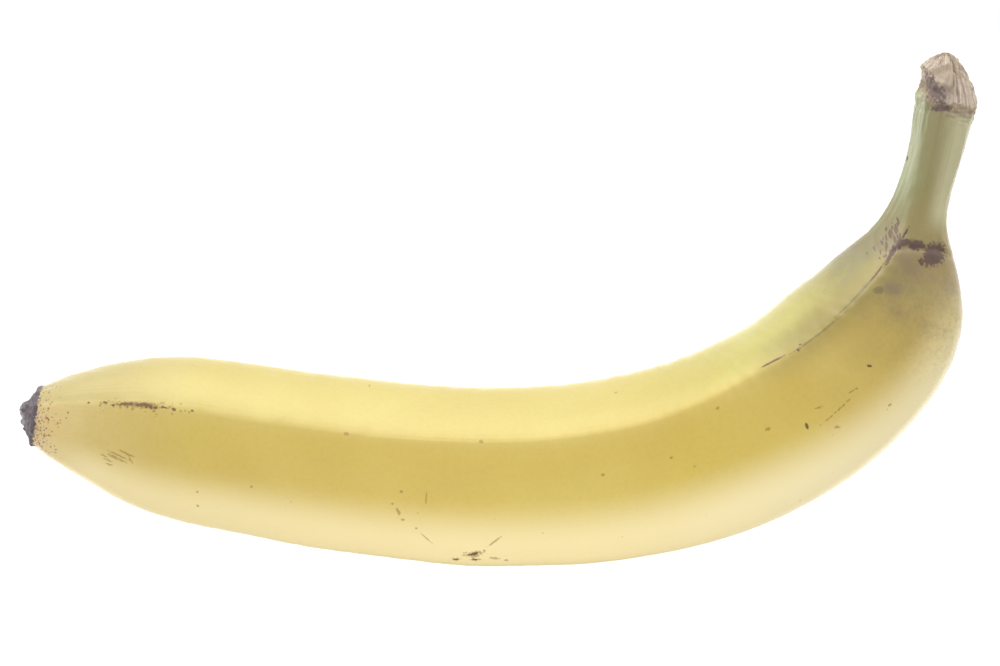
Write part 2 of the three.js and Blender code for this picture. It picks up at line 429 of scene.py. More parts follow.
# The peel: its colours in plain light, where each of them lies, and the marks, besides the painted light and
# shade said below
peel = {
    # from the blossom end to the torn end: mm along, colour
    "alongColours": [
        (0, (0.82, 0.645, 0.31)), (7, (0.785, 0.62, 0.26)), (16, (0.71, 0.545, 0.17)),
        (32, (0.715, 0.54, 0.12)), (75, (0.745, 0.565, 0.125)), (110, (0.735, 0.56, 0.12)),
        (135, (0.71, 0.53, 0.098)), (152, (0.725, 0.55, 0.12)), (166, (0.70, 0.53, 0.14)),
        (178, (0.57, 0.425, 0.11)), (186, (0.41, 0.315, 0.10)), (192, (0.33, 0.24, 0.08)),
        (198, (0.385, 0.315, 0.115)), (207, (0.375, 0.345, 0.145)), (216, (0.40, 0.36, 0.18)),
    ],
    "colourLength": 220.0,
    # these multiply the colour below them
    "broadTone": (0.965, 0.94, 0.86),
    "grainTone": (0.86, 0.80, 0.62),
    "upperTone": (0.90, 0.965, 1.0),  # the upper faces
    "greenFlush": (0.88, 0.98, 0.74),  # the upper faces towards the neck
    "tipShade": (0.79, 0.77, 0.61),  # the upper faces at the blossom end
    "stemFootShade": (0.78, 0.79, 0.70),  # the inner side where the stem begins
    # and these cover it
    # painted light: the lower faces paler and whiter, as lit from the table below, paler still towards the
    # neck
    "paintedUnderLight": (0.93, 0.775, 0.385),
    "paintedUnderLightNeck": (0.95, 0.82, 0.46),
    # painted light: the stem's outer faces paler, as lit from behind
    "stemPaintedLight": (0.72, 0.68, 0.42),
    "stemGreen": (0.47, 0.51, 0.26),
    "ridgeOlive": (0.34, 0.26, 0.04),
    "shoulderBrown": (0.27, 0.20, 0.115),
    "seamOlive": (0.135, 0.10, 0.03),
    "strokeBrown": (0.11, 0.04, 0.0),
    "speckBrown": (0.30, 0.145, 0.012),
    "tipRust": (0.30, 0.13, 0.07),
    "tipPink": (0.66, 0.43, 0.30),
    "bruise": (0.15, 0.055, 0.004),
    "collarBrown": (0.085, 0.032, 0.028),
    "greenSpot": (0.20, 0.17, 0.055),
    "driedOlive": (0.52, 0.42, 0.26),
    "driedBrown": (0.38, 0.28, 0.19),
    "wallMauve": (0.42, 0.33, 0.27),
    "wallPale": (0.78, 0.64, 0.49),
    # painted shade for the wall's crease, and the colour of dark marks on the dried band
    "wallShadeAndMarks": (0.14, 0.09, 0.085),
    "tornPale": (0.80, 0.665, 0.52),
    "tornDark": (0.33, 0.25, 0.185),
    "scar": (0.115, 0.085, 0.095),
    # painted highlight: pale grey on the scar's nub
    "scarHighlightGrey": (0.44, 0.41, 0.43),
    "roughness": 0.40,
    "roughnessSpread": 0.10,
    "dryRoughness": 0.28,  # added where the peel has dried out
    "gloss": 1.0,
    "bumpStrength": 0.35,
    "bumpDepth": 0.00008,
    "heights": {"leather": 0.25, "ribs": 0.5, "crust": 3.0},
    # cloudy patterns: size in mm, detail, roughness
    "clouds": {
        "broad": (26, 2, 0.55), "blotch": (7, 3, 0.55), "fine": (0.55, 3, 0.6), "tiny": (0.9, 5, 0.7),
        "leather": (0.35, 2, 0.55),
    },
    # lines along the fruit: how far apart they are and how long, in mm
    "grains": {"streaks": (0.8, 22.0), "strands": (0.9, 12.0), "ribs": (0.8, 40.0)},
    # how far edges wander, in mm
    "toneWander": 9.0,
    "tornWander": 2.5,
    "scarWander": 2.2,
    # limits: along the fruit in mm, round it in faces or in a pattern, then where it starts and where it is
    # full; it goes from 0 to 1 there, unless two more numbers follow
    "skinClimb": ("around", 1.3, 0.6, 0.0, 2.8),  # mm that the skin reaches up the torn end's inner side
    "paintedUnderLightTurn": ("along", 125, 186, 0, 0.15),  # faces that the painted light below begins later towards the neck
    # where the painted highlight on the scar's nub lies, in mm along
    "scarHighlightReach": ("along", -2.4, -4.8, -0.04, 0.45),
    "ridgeShadeAt": 0.87,
    # all limits of one of these apply
    "zones": {
        "broadTone": [("broad", 0.62, 0.38)],
        "grainTone": [("tiny", 0.40, 0.70, 0.0, 0.22)],
        "paintedUnderLight": [("turned", 1.42, 1.86), ("around", 3.5, 2.9), ("along", 192, 173), ("along", 0, 14)],
        "paintedUnderLightNeck": [("along", 110, 155)],
        "greenFlush": [("along", 112, 155), ("along", 200, 186, 0, 0.85)],
        "tipShade": [("along", 34, 4)],
        "stemFootShade": [("around", 1.0, 0.75), ("along", 184, 191), ("along", 212, 202)],
        "stemGreen": [("along", 197, 208)],
        "stemPaintedLight": [("around", 1.25, 1.85), ("around", 3.6, 3.0), ("along", 196, 202)],
        "streaks": [("along", 176, 192)],
        "mottle": [("along", 172, 186), ("along", 194.5, 193.5), ("mottling", 0.66, 1.1)],
        "freckles": [
            ("along", 164, 188), ("along", 196, 192), ("around", 1.3, 1.7), ("around", 3.4, 2.8),
            ("tiny", 0.44, 0.62),
        ],
        "ridgeOlive": [("fromRidge", 0.34, 0.0), ("along", 142, 170), ("along", 195, 188)],
        "pores": [("along", 4, 12), ("along", 212, 206)],
        "small": [("along", 4, 12), ("along", 212, 206), ("around", 1.15, 1.6, 0.3, 1.0)],
        "blush": [("uneven", 5.0, 0.0), ("around", 0.8, 1.4)],
        "rust": [("uneven", 7.0, 0.5), ("around", 0.5, 1.5, 0.35, 1.0)],
        "ridge": [("along", 10, 15), ("along", 33, 27), ("around", 0.88, 0.95), ("around", 1.08, 1.02)],
        "strokes": [
            ("along", 189.5, 191.5), ("along", 199, 196.5), ("around", 0.4, 0.6), ("around", 1.0, 0.9),
        ],
        "collar": [("along", 189.5, 192.5)],
        "driedBand": [("tornEdge", 219.2, 220.9)],
        "driedBrown": [("tiny", 0.35, 0.6)],
        "wall": [("tornEdge", 221.9, 222.7)],
        "tornFace": [("along", 235.4, 235.8)],
        "tornPale": [("fine", 0.2, 0.6, 0.5, 1.0)],
        "scar": [("scarEdge", 1.25, 0.75)],
        "scarHighlightGrey": [("scarHighlight", 0.45, 0.85)],
    },
    # any one limit of these is enough
    "eitherZones": {
        "upper": [("around", 1.05, 0.85), ("around", 3.9, 4.3)],
        "stemInside": [("around", 1.35, 0.5), ("around", 4.3, 4.9)],
        "wallPale": [("around", 1.3, 1.6), ("along", 224.3, 226.3)],
        "crust": [("along", 219.5, 221), ("along", 1.0, 0.4)],
    },
    # how strongly each covers what is below it
    "cover": {
        "stemGreen": 0.75, "stemPaintedLight": 0.75, "streaks": 0.16, "mottle": 0.6, "freckles": 0.15,
        "ridgeOlive": 0.95, "blush": 0.5, "greenDot": 0.7, "smudge": 0.6, "seam": 0.5, "light": 0.55,
        "dark": 0.88, "wallFibres": 0.8, "wallPaintedShade": 0.75, "wallMarks": 0.8, "dryMarks": 0.6,
    },
    # colour, spacing and radius in mm, the share of them that shows, and how strongly they cover
    "flecks": {
        "pores": ("speckBrown", 1.2, 0.10, 0.55, 0.22),
        "small": ("speckBrown", 3.1, 0.17, 0.5, 0.38),
        "rust": ("tipRust", 0.42, 0.24, 1.0, 0.85),
        "ridge": ("speckBrown", 0.8, 0.30, 0.8, 0.5),
        "strokes": ("strokeBrown", 0.62, 0.37, 1.0, 0.95),
    },
    "fleckEdge": (1.15, 0.6),
    "fleckSizes": (0.4, 0.9),  # the smallest, and how much larger they get, in radii
    "strokeAxes": [(0.7, 0.7, 0), (-0.25, 0.25, 0)],  # across and along the strokes by the collar
    "markEdge": (1.25, 0.75),
    "markTear": 3.4,
    # mm along, place round it in faces, length and width in mm, turn in degrees, raggedness
    "marks": {
        "dark": [
            (18.4, 0.975, 3.2, 0.66, 0, 1.1), (21.9, 0.977, 4.6, 0.84, 2, 1.1),
            (25.6, 0.985, 1.2, 0.4, 10, 0.5), (27.4, 0.99, 1.0, 0.6, 20, 0.5),
            (15.6, 0.99, 0.9, 0.45, 0, 0.7), (14.2, 0.96, 0.9, 0.45, 15, 0.7),
            (11.0, 0.96, 0.6, 0.45, 0, 0.6), (30.9, 0.98, 0.6, 0.4, 0, 0.5),
            (155.6, 0.965, 6.8, 0.42, 1, 0.35), (162.2, 1.0, 0.7, 0.6, 0, 0.8),
            (163.4, 0.96, 0.6, 0.4, 0, 0.8), (191.3, 0.95, 4.8, 0.8, -5, 0.5),
            (194.0, 1.0, 2.0, 1.0, -15, 0.5), (192.7, 0.965, 2.4, 0.7, -5, 0.4),
            (187.6, 0.94, 4.4, 0.35, -3, 0.35), (194.5, 1.07, 1.4, 2.8, -10, 0.5),
            (194.4, 1.28, 1.9, 3.8, 0, 0.5), (193.4, 1.64, 4.4, 5.0, 2, 0.45),
            (192.5, 1.58, 2.4, 3.8, 0, 0.5), (196.0, 1.03, 2.6, 0.4, 12, 0.6),
            (191.6, 1.40, 0.9, 1.8, 30, 0.6), (87.8, 1.912, 2.3, 0.6, -8, 0.9),
            (88.3, 1.962, 1.0, 0.45, 0, 0.8), (84.7, 1.975, 0.9, 0.4, 0, 0.8),
            (153.4, 1.52, 1.5, 0.55, 105, 0.4), (209.2, 0.19, 1.0, 0.7, 0, 0.5),
            (170.0, 1.44, 1.0, 0.55, 65, 0.4), (226.3, 0.62, 0.45, 2.0, 14, 0.3),
        ],
        "seam": [(181.0, 0.957, 15.0, 0.5, -1, 0.5), (167.5, 0.99, 15.0, 0.42, 1, 0.7)],
        "light": [
            (18.6, 0.975, 4.2, 1.0, 0, 0.7), (22.0, 0.977, 5.6, 1.2, 2, 0.7),
            (20.8, 0.977, 9.8, 1.15, 1, 0.9), (17.6, 1.56, 3.0, 0.28, 22, 0.6),
            (19.0, 1.55, 2.6, 0.26, 24, 0.6), (15.2, 1.57, 1.6, 0.3, 20, 0.6),
            (18.2, 1.51, 4.6, 0.36, 22, 0.5), (19.7, 1.47, 3.6, 0.40, 24, 0.5),
            (17.0, 1.53, 2.4, 0.3, 22, 0.6), (16.0, 1.60, 2.0, 0.34, 20, 0.6),
            (16.4, 1.655, 1.3, 0.34, 12, 0.6), (20.6, 1.53, 2.0, 0.3, 60, 0.6),
            (64.5, 0.21, 0.35, 1.1, 0, 0.4), (61.2, 0.99, 0.9, 0.6, 0, 0.6),
            (88.4, 0.98, 0.8, 0.6, 0, 0.6), (73.4, 1.40, 0.7, 0.6, 0, 0.5),
            (34.3, 1.69, 0.5, 0.5, 0, 0.5), (34.8, 1.82, 0.55, 0.5, 0, 0.5),
            (44.5, 1.55, 0.5, 0.5, 0, 0.5), (71.9, 1.52, 0.5, 0.5, 0, 0.6),
            (73.2, 1.59, 1.8, 0.6, 68, 0.5), (74.2, 1.66, 0.6, 0.5, 0, 0.6),
            (76.9, 1.73, 0.5, 0.4, 0, 0.6), (78.9, 1.805, 2.8, 0.26, 40, 0.5),
            (78.3, 1.44, 0.26, 2.8, 0, 0.7), (87.8, 1.915, 3.2, 1.2, -8, 1.0),
            (88.2, 1.965, 1.6, 0.7, 0, 0.9), (84.6, 1.975, 1.7, 0.8, -5, 0.9),
            (91.6, 1.805, 3.0, 0.36, -38, 0.5), (89.8, 1.88, 0.6, 0.5, 0, 0.6),
            (91.6, 1.95, 1.5, 0.5, 10, 0.9), (93.8, 1.97, 0.8, 0.5, 0, 0.8),
            (112.7, 1.29, 0.75, 0.6, 0, 0.5), (126.7, 1.28, 0.75, 0.6, 0, 0.5),
            (130.7, 1.41, 0.5, 0.4, 0, 0.5), (138.9, 1.08, 1.0, 0.6, 0, 0.6),
            (146.6, 1.38, 1.1, 0.7, 10, 0.5), (167.0, 1.80, 0.7, 0.5, 0, 0.5),
            (159.8, 1.55, 6.0, 0.3, -10, 1.7), (164.4, 1.50, 2.6, 0.3, 12, 1.5),
            (157.5, 1.44, 1.6, 0.4, 20, 1.2), (164.8, 1.50, 1.2, 0.4, 0, 1.2),
            (157.8, 1.66, 1.0, 0.6, 40, 1.2), (52.0, 4.35, 1.0, 0.7, 0, 0.6),
            (97.0, 3.55, 3.4, 0.4, 28, 0.6), (99.0, 3.50, 2.4, 0.3, 30, 0.6),
            (131.0, 3.3, 0.9, 0.7, 0, 0.5), (76.0, 2.5, 6.0, 0.7, 12, 1.2),
            (82.0, 2.42, 4.0, 0.5, -8, 1.2), (118.0, 0.45, 0.8, 0.6, 0, 0.5),
            (41.0, 3.1, 0.9, 0.6, 0, 0.6), (150.0, 4.0, 5.0, 0.6, 0, 0.9),
        ],
        "greenDot": [(184.4, 1.08, 1.6, 1.6, 0, 0.4)],
        "smudge": [(185.6, 1.2, 2.2, 3.8, 0, 1.0)],
        # painted shade down the creases of the torn end's wall
        "wallPaintedShade": [(224.6, 0.90, 8.5, 2.7, -50, 0.9), (221.0, 1.30, 1.2, 3.9, -12, 0.9)],
    },
}


def newNode(tree, kind, **settings):
    node = tree.nodes.new(kind)
    for key, value in settings.items():
        setattr(node, key, value)
    return node


def feed(tree, socket, value):
    if isinstance(value, bpy.types.NodeSocket):
        tree.links.new(value, socket)
    elif socket.type == "RGBA":
        socket.default_value = (*value[:3], 1)
    else:
        socket.default_value = value


def compute(tree, operation, *values, clamp=False):
    node = newNode(tree, "ShaderNodeMath", operation=operation, use_clamp=clamp)
    for socket, value in zip(node.inputs, values):
        feed(tree, socket, value)
    return node.outputs[0]


def between(tree, value, low, high, start=0.0, end=1.0):
    node = newNode(tree, "ShaderNodeMapRange", interpolation_type="SMOOTHSTEP")
    for socket, given in zip(node.inputs, (value, low, high, start, end)):
        feed(tree, socket, given)
    return node.outputs[0]


def blendColour(tree, mask, first, second, blend="MIX"):
    node = newNode(tree, "ShaderNodeMix", data_type="RGBA", blend_type=blend, clamp_factor=True)
    feed(tree, node.inputs[0], mask)
    feed(tree, node.inputs[6], first)
    feed(tree, node.inputs[7], second)
    return node.outputs[2]


def times(tree, *values):
    total = values[0]
    for value in values[1:]:
        total = compute(tree, "MULTIPLY", total, value)
    return total


def most(tree, values):
    total = values[0]
    for value in values[1:]:
        total = compute(tree, "MAXIMUM", total, value)
    return total


def cloud(tree, place, size, detail, rough):
    scaled = newNode(tree, "ShaderNodeVectorMath", operation="MULTIPLY")
    feed(tree, scaled.inputs[0], place)
    scaled.inputs[1].default_value = [1 / size] * 3
    node = newNode(tree, "ShaderNodeTexNoise")
    tree.links.new(scaled.outputs[0], node.inputs["Vector"])
    node.inputs["Scale"].default_value = 1
    node.inputs["Detail"].default_value = detail
    node.inputs["Roughness"].default_value = rough
    return node.outputs[0]


def newGroup(name, inputs, outputs):
    group = bpy.data.node_groups.new(name, "ShaderNodeTree")
    for label, kind, value in inputs:
        socket = group.interface.new_socket(name=label, in_out="INPUT", socket_type=kind)
        if value is not None:
            socket.default_value = value
    for label, kind in outputs:
        group.interface.new_socket(name=label, in_out="OUTPUT", socket_type=kind)
    return group, newNode(group, "NodeGroupInput"), newNode(group, "NodeGroupOutput")


def useGroup(tree, group, **values):
    node = newNode(tree, "ShaderNodeGroup", node_tree=group)
    for label, value in values.items():
        feed(tree, node.inputs[label], value)
    return node


# One mark on the skin: an ellipse in the span map with a ragged edge, kept with the marks before it
def makeMarkGroup():
    group, given, result = newGroup("skinMark", [
        ("Span", "NodeSocketVector", None), ("Middle", "NodeSocketVector", None),
        ("Across", "NodeSocketVector", None), ("Lengthwise", "NodeSocketVector", None),
        ("Ragged", "NodeSocketFloat", 0.5), ("Tear", "NodeSocketFloat", 0.5),
        ("Others", "NodeSocketFloat", 0.0),
    ], [("Mask", "NodeSocketFloat")])

    def vectorStep(operation, first, second):
        node = newNode(group, "ShaderNodeVectorMath", operation=operation)
        group.links.new(first, node.inputs[0])
        group.links.new(second, node.inputs[1])
        return node.outputs

    off = vectorStep("SUBTRACT", given.outputs["Span"], given.outputs["Middle"])["Vector"]
    across = vectorStep("DOT_PRODUCT", off, given.outputs["Across"])["Value"]
    lengthwise = vectorStep("DOT_PRODUCT", off, given.outputs["Lengthwise"])["Value"]
    total = compute(group, "MULTIPLY_ADD", lengthwise, lengthwise, compute(group, "MULTIPLY", across, across))
    torn = times(group, compute(group, "SUBTRACT", given.outputs["Ragged"], 0.5), given.outputs["Tear"])
    away = compute(group, "MULTIPLY_ADD", torn, peel["markTear"], compute(group, "SQRT", total))
    mask = compute(group, "MAXIMUM", between(group, away, *peel["markEdge"]), given.outputs["Others"])
    group.links.new(mask, result.inputs["Mask"])
    return group


# Small round flecks: each cell of the pattern holds one, and only a share of them shows
def makeFleckGroup():
    group, given, result = newGroup("flecks", [
        ("Place", "NodeSocketVector", None), ("Spacing", "NodeSocketFloat", 2.0),
        ("Radius", "NodeSocketFloat", 0.2), ("Share", "NodeSocketFloat", 0.5),
        ("Area", "NodeSocketFloat", 1.0),
    ], [("Mask", "NodeSocketFloat")])
    scaled = newNode(group, "ShaderNodeVectorMath", operation="SCALE")
    group.links.new(given.outputs["Place"], scaled.inputs[0])
    group.links.new(compute(group, "DIVIDE", 1.0, given.outputs["Spacing"]), scaled.inputs["Scale"])
    cells = newNode(group, "ShaderNodeTexVoronoi", feature="F1")
    group.links.new(scaled.outputs[0], cells.inputs["Vector"])
    cells.inputs["Scale"].default_value = 1
    chance = newNode(group, "ShaderNodeSeparateColor")
    group.links.new(cells.outputs["Color"], chance.inputs[0])
    share = compute(group, "MULTIPLY", given.outputs["Share"], given.outputs["Area"])
    shown = compute(group, "LESS_THAN", chance.outputs[0], share)
    away = compute(group, "MULTIPLY", cells.outputs["Distance"], given.outputs["Spacing"])
    smallest, spread = peel["fleckSizes"]
    uneven = compute(group, "MULTIPLY_ADD", chance.outputs[1], spread, smallest)
    radius = compute(group, "MULTIPLY", given.outputs["Radius"], uneven)
    near = between(group, compute(group, "DIVIDE", away, radius), *peel["fleckEdge"])
    group.links.new(times(group, near, shown), result.inputs["Mask"])
    return group


# Thin fibres or ribs that run one way: fine ridges as a value from 0 to 1
def makeFibreGroup():
    group, given, result = newGroup("fibreGrain", [
        ("Place", "NodeSocketVector", None), ("Across", "NodeSocketFloat", 0.5),
        ("Lengthwise", "NodeSocketFloat", 8.0),
    ], [("Grain", "NodeSocketFloat")])
    split = newNode(group, "ShaderNodeSeparateXYZ")
    group.links.new(given.outputs["Place"], split.inputs[0])
    joined = newNode(group, "ShaderNodeCombineXYZ")
    for axis, size in ((0, "Across"), (1, "Across"), (2, "Lengthwise")):
        scaled = compute(group, "DIVIDE", split.outputs[axis], given.outputs[size])
        group.links.new(scaled, joined.inputs[axis])
    grain = newNode(group, "ShaderNodeTexNoise")
    group.links.new(joined.outputs[0], grain.inputs["Vector"])
    grain.inputs["Scale"].default_value = 1
    grain.inputs["Detail"].default_value = 4
    group.links.new(between(group, grain.outputs[0], 0.3, 0.7), result.inputs["Grain"])
    return group


markGroup = makeMarkGroup()
fleckGroup = makeFleckGroup()
fibreGroup = makeFibreGroup()


# Where a place is: in space, round the fruit in faces, along it in mm, and both as a tube and as a flat map
def readPlaces(tree):
    inMm = newNode(tree, "ShaderNodeVectorMath", operation="SCALE")
    tree.links.new(newNode(tree, "ShaderNodeTexCoord").outputs["Object"], inMm.inputs[0])
    inMm.inputs["Scale"].default_value = 1000
    split = newNode(tree, "ShaderNodeSeparateXYZ")
    tree.links.new(newNode(tree, "ShaderNodeUVMap", uv_map="skinMap").outputs[0], split.inputs[0])
    around = compute(tree, "MULTIPLY", split.outputs[0], faceCount)
    along = compute(tree, "MULTIPLY_ADD", split.outputs[1], skinMap["length"], skinMap["start"])
    turn = compute(tree, "MULTIPLY", split.outputs[0], 2 * math.pi)
    tube = newNode(tree, "ShaderNodeCombineXYZ")
    for axis, wave in ((0, "COSINE"), (1, "SINE")):
        aside = compute(tree, "MULTIPLY", compute(tree, wave, turn), skinMap["tubeRadius"])
        feed(tree, tube.inputs[axis], aside)
    feed(tree, tube.inputs[2], along)
    span = newNode(tree, "ShaderNodeUVMap", uv_map="skinSpan")
    return {
        "place": inMm.outputs[0], "around": around, "along": along, "tube": tube.outputs[0],
        "span": span.outputs[0],
    }


# All marks of one kind together
def markMask(tree, maps, kind, ragged="fine"):
    mask = 0.0
    for along, around, length, width, turn, tear in peel["marks"][kind]:
        turned = math.radians(turn)
        across = (2 * math.cos(turned) / width, -2 * math.sin(turned) / width, 0)
        lengthwise = (2 * math.sin(turned) / length, 2 * math.cos(turned) / length, 0)
        middle = (spanOf(around, along), along, 0)
        node = useGroup(tree, markGroup, Span=maps["span"], Middle=middle, Across=across,
                        Lengthwise=lengthwise, Ragged=maps[ragged], Tear=tear, Others=mask)
        mask = node.outputs["Mask"]
    return mask


# A ramp through these places and colours
def makeRamp(tree, place, stops):
    node = newNode(tree, "ShaderNodeValToRGB")
    feed(tree, node.inputs[0], place)
    elements = node.color_ramp.elements
    for index, (at, shade) in enumerate(stops):
        stop = elements[index] if index < 2 else elements.new(at)
        stop.position = at
        stop.color = (*shade, 1)
    return node.outputs[0]


# One shade over the colour so far, as strong as its masks together
def paint(tree, colour, shade, *masks, blend="MIX"):
    return blendColour(tree, times(tree, *masks), colour, shade, blend)


def limited(tree, maps, limit):
    direction, *edges = limit
    return between(tree, maps[direction], *edges)


# How far a place lies inside the zone of this name
def zone(tree, maps, name):
    return times(tree, *[limited(tree, maps, limit) for limit in peel["zones"][name]])


def eitherZone(tree, maps, name):
    return most(tree, [limited(tree, maps, limit) for limit in peel["eitherZones"][name]])


# A value that a pattern pushes up and down, for edges that wander
def unsettled(tree, value, pattern, amount):
    return compute(tree, "MULTIPLY_ADD", compute(tree, "SUBTRACT", pattern, 0.5), amount, value)


# The places and patterns that the zones are set in
def readPeel(tree):
    maps = readPlaces(tree)
    for name, settings in peel["clouds"].items():
        maps[name] = cloud(tree, maps["place"], *settings)
    for name, (across, lengthwise) in peel["grains"].items():
        node = useGroup(tree, fibreGroup, Place=maps["tube"], Across=across, Lengthwise=lengthwise)
        maps[name] = node.outputs["Grain"]
    along, around, fine, tiny = (maps[name] for name in ("along", "around", "fine", "tiny"))
    maps["uneven"] = unsettled(tree, along, maps["blotch"], peel["toneWander"])
    maps["scarEdge"] = unsettled(tree, along, fine, peel["scarWander"])
    climbed = compute(tree, "SUBTRACT", along, limited(tree, maps, peel["skinClimb"]))
    maps["tornEdge"] = unsettled(tree, climbed, fine, peel["tornWander"])
    maps["turned"] = compute(tree, "SUBTRACT", around, limited(tree, maps, peel["paintedUnderLightTurn"]))
    maps["fromRidge"] = compute(tree, "ABSOLUTE", compute(tree, "SUBTRACT", around, peel["ridgeShadeAt"]))
    maps["mottling"] = compute(tree, "ADD", maps["blotch"], compute(tree, "MULTIPLY", tiny, 0.6))
    # painted highlight near the top of the scar's nub
    maps["scarHighlight"] = compute(tree, "ADD", limited(tree, maps, peel["scarHighlightReach"]), tiny)
    return maps


# The peel's own colour: uneven along its length, greener above towards the neck, and painted paler below as
# light from the table
def bodyColour(tree, maps):
    length = peel["colourLength"]
    stops = [(at / length, shade) for at, shade in peel["alongColours"]]
    colour = makeRamp(tree, compute(tree, "DIVIDE", maps["uneven"], length), stops)
    for name in ("broadTone", "grainTone"):
        colour = paint(tree, colour, peel[name], zone(tree, maps, name), blend="MULTIPLY")
    # painted light on the lower faces, as from the table below
    underLightColour = paint(tree, peel["paintedUnderLight"], peel["paintedUnderLightNeck"], zone(tree, maps, "paintedUnderLightNeck"))
    colour = paint(tree, colour, underLightColour, zone(tree, maps, "paintedUnderLight"))
    upper = eitherZone(tree, maps, "upper")
    colour = paint(tree, colour, peel["upperTone"], upper, blend="MULTIPLY")
    for name in ("greenFlush", "tipShade"):
        colour = paint(tree, colour, peel[name], upper, zone(tree, maps, name), blend="MULTIPLY")
    return paint(tree, colour, peel["stemFootShade"], zone(tree, maps, "stemFootShade"), blend="MULTIPLY")


# The stem is green on its inner facet and painted paler outside as light from behind, the shoulder is mottled
# and its near ridge olive
def addNeck(tree, maps, colour):
    inside = eitherZone(tree, maps, "stemInside")
    # the stem's outer faces get painted light from behind
    for name, shade, *masks in (
        ("stemGreen", "stemGreen", inside), ("stemPaintedLight", "stemPaintedLight"),
        ("streaks", "shoulderBrown", maps["streaks"]), ("mottle", "shoulderBrown"),
        ("freckles", "shoulderBrown"), ("ridgeOlive", "ridgeOlive"),
    ):
        colour = paint(tree, colour, peel[shade], zone(tree, maps, name), *masks, peel["cover"][name])
    return colour


# The flat map turned and stretched, so that flecks in it are strokes
def strokePlaces(tree, maps):
    strokes = newNode(tree, "ShaderNodeCombineXYZ")
    for axis, direction in enumerate(peel["strokeAxes"]):
        turned = newNode(tree, "ShaderNodeVectorMath", operation="DOT_PRODUCT")
        tree.links.new(maps["span"], turned.inputs[0])
        turned.inputs[1].default_value = direction
        tree.links.new(turned.outputs["Value"], strokes.inputs[axis])
    return strokes.outputs[0]


def addFlecks(tree, colour, place, name, area):
    shade, spacing, radius, share, cover = peel["flecks"][name]
    node = useGroup(tree, fleckGroup, Place=place, Spacing=spacing, Radius=radius, Share=share, Area=area)
    return paint(tree, colour, peel[shade], node.outputs["Mask"], cover)


# A few flecks all over, more of them below, rusty ones on a blush at the blossom end, strokes at the collar
def addAllFlecks(tree, maps, colour):
    place = maps["place"]
    for name in ("pores", "small"):
        colour = addFlecks(tree, colour, place, name, zone(tree, maps, name))
    colour = paint(tree, colour, peel["tipPink"], zone(tree, maps, "blush"), peel["cover"]["blush"])
    for name in ("rust", "ridge"):
        colour = addFlecks(tree, colour, place, name, zone(tree, maps, name))
    return addFlecks(tree, colour, strokePlaces(tree, maps), "strokes", zone(tree, maps, "strokes"))


def addMarks(tree, maps, colour):
    for kind, ragged, shade in (
        ("greenDot", "fine", "greenSpot"), ("smudge", "tiny", "shoulderBrown"),
        ("seam", "fine", "seamOlive"), ("light", "fine", "speckBrown"),
    ):
        mask = markMask(tree, maps, kind, ragged)
        colour = paint(tree, colour, peel[shade], mask, peel["cover"][kind])
    darkMarks = markMask(tree, maps, "dark")
    darkColour = paint(tree, peel["bruise"], peel["collarBrown"], zone(tree, maps, "collar"))
    return paint(tree, colour, darkColour, darkMarks, peel["cover"]["dark"]), darkMarks


# The dried band and wall of the torn end with painted shade in a crease of the wall, and its face of pale
# fibres over brown
def addTornEnd(tree, maps, colour, darkMarks):
    cover = peel["cover"]
    band = zone(tree, maps, "driedBand")
    bandColour = paint(tree, peel["driedOlive"], peel["driedBrown"], zone(tree, maps, "driedBrown"))
    colour = paint(tree, colour, bandColour, band)

    wallColour = paint(tree, peel["wallMauve"], peel["wallPale"], eitherZone(tree, maps, "wallPale"))
    wallFibres = times(tree, maps["strands"], maps["tiny"])
    wallColour = paint(tree, wallColour, peel["driedBrown"], wallFibres, cover["wallFibres"])
    colour = paint(tree, colour, wallColour, zone(tree, maps, "wall"))
    # painted shade down a diagonal crease of the wall
    creaseShade = markMask(tree, maps, "wallPaintedShade")
    colour = paint(tree, colour, peel["wallShadeAndMarks"], creaseShade, cover["wallPaintedShade"])
    colour = paint(tree, colour, peel["wallShadeAndMarks"], darkMarks, band, cover["wallMarks"])

    torn = zone(tree, maps, "tornFace")
    fibres = times(tree, maps["strands"], zone(tree, maps, "tornPale"))
    tornColour = paint(tree, peel["tornDark"], peel["tornPale"], fibres)
    return paint(tree, colour, tornColour, torn), band, torn


# The blossom scar, dark, with a painted highlight on its nub
def addScar(tree, maps, colour):
    scar = zone(tree, maps, "scar")
    scarColour = paint(tree, peel["scar"], peel["scarHighlightGrey"], zone(tree, maps, "scarHighlightGrey"))
    return paint(tree, colour, scarColour, scar), scar


# The skin's own fine surface, with a crust on the torn end and the scar
def fineHeight(tree, maps):
    heights = peel["heights"]
    ribs = compute(tree, "MULTIPLY", maps["ribs"], heights["ribs"])
    height = compute(tree, "MULTIPLY_ADD", maps["leather"], heights["leather"], ribs)
    crust = times(tree, maps["tiny"], eitherZone(tree, maps, "crust"), heights["crust"])
    return compute(tree, "ADD", height, crust)


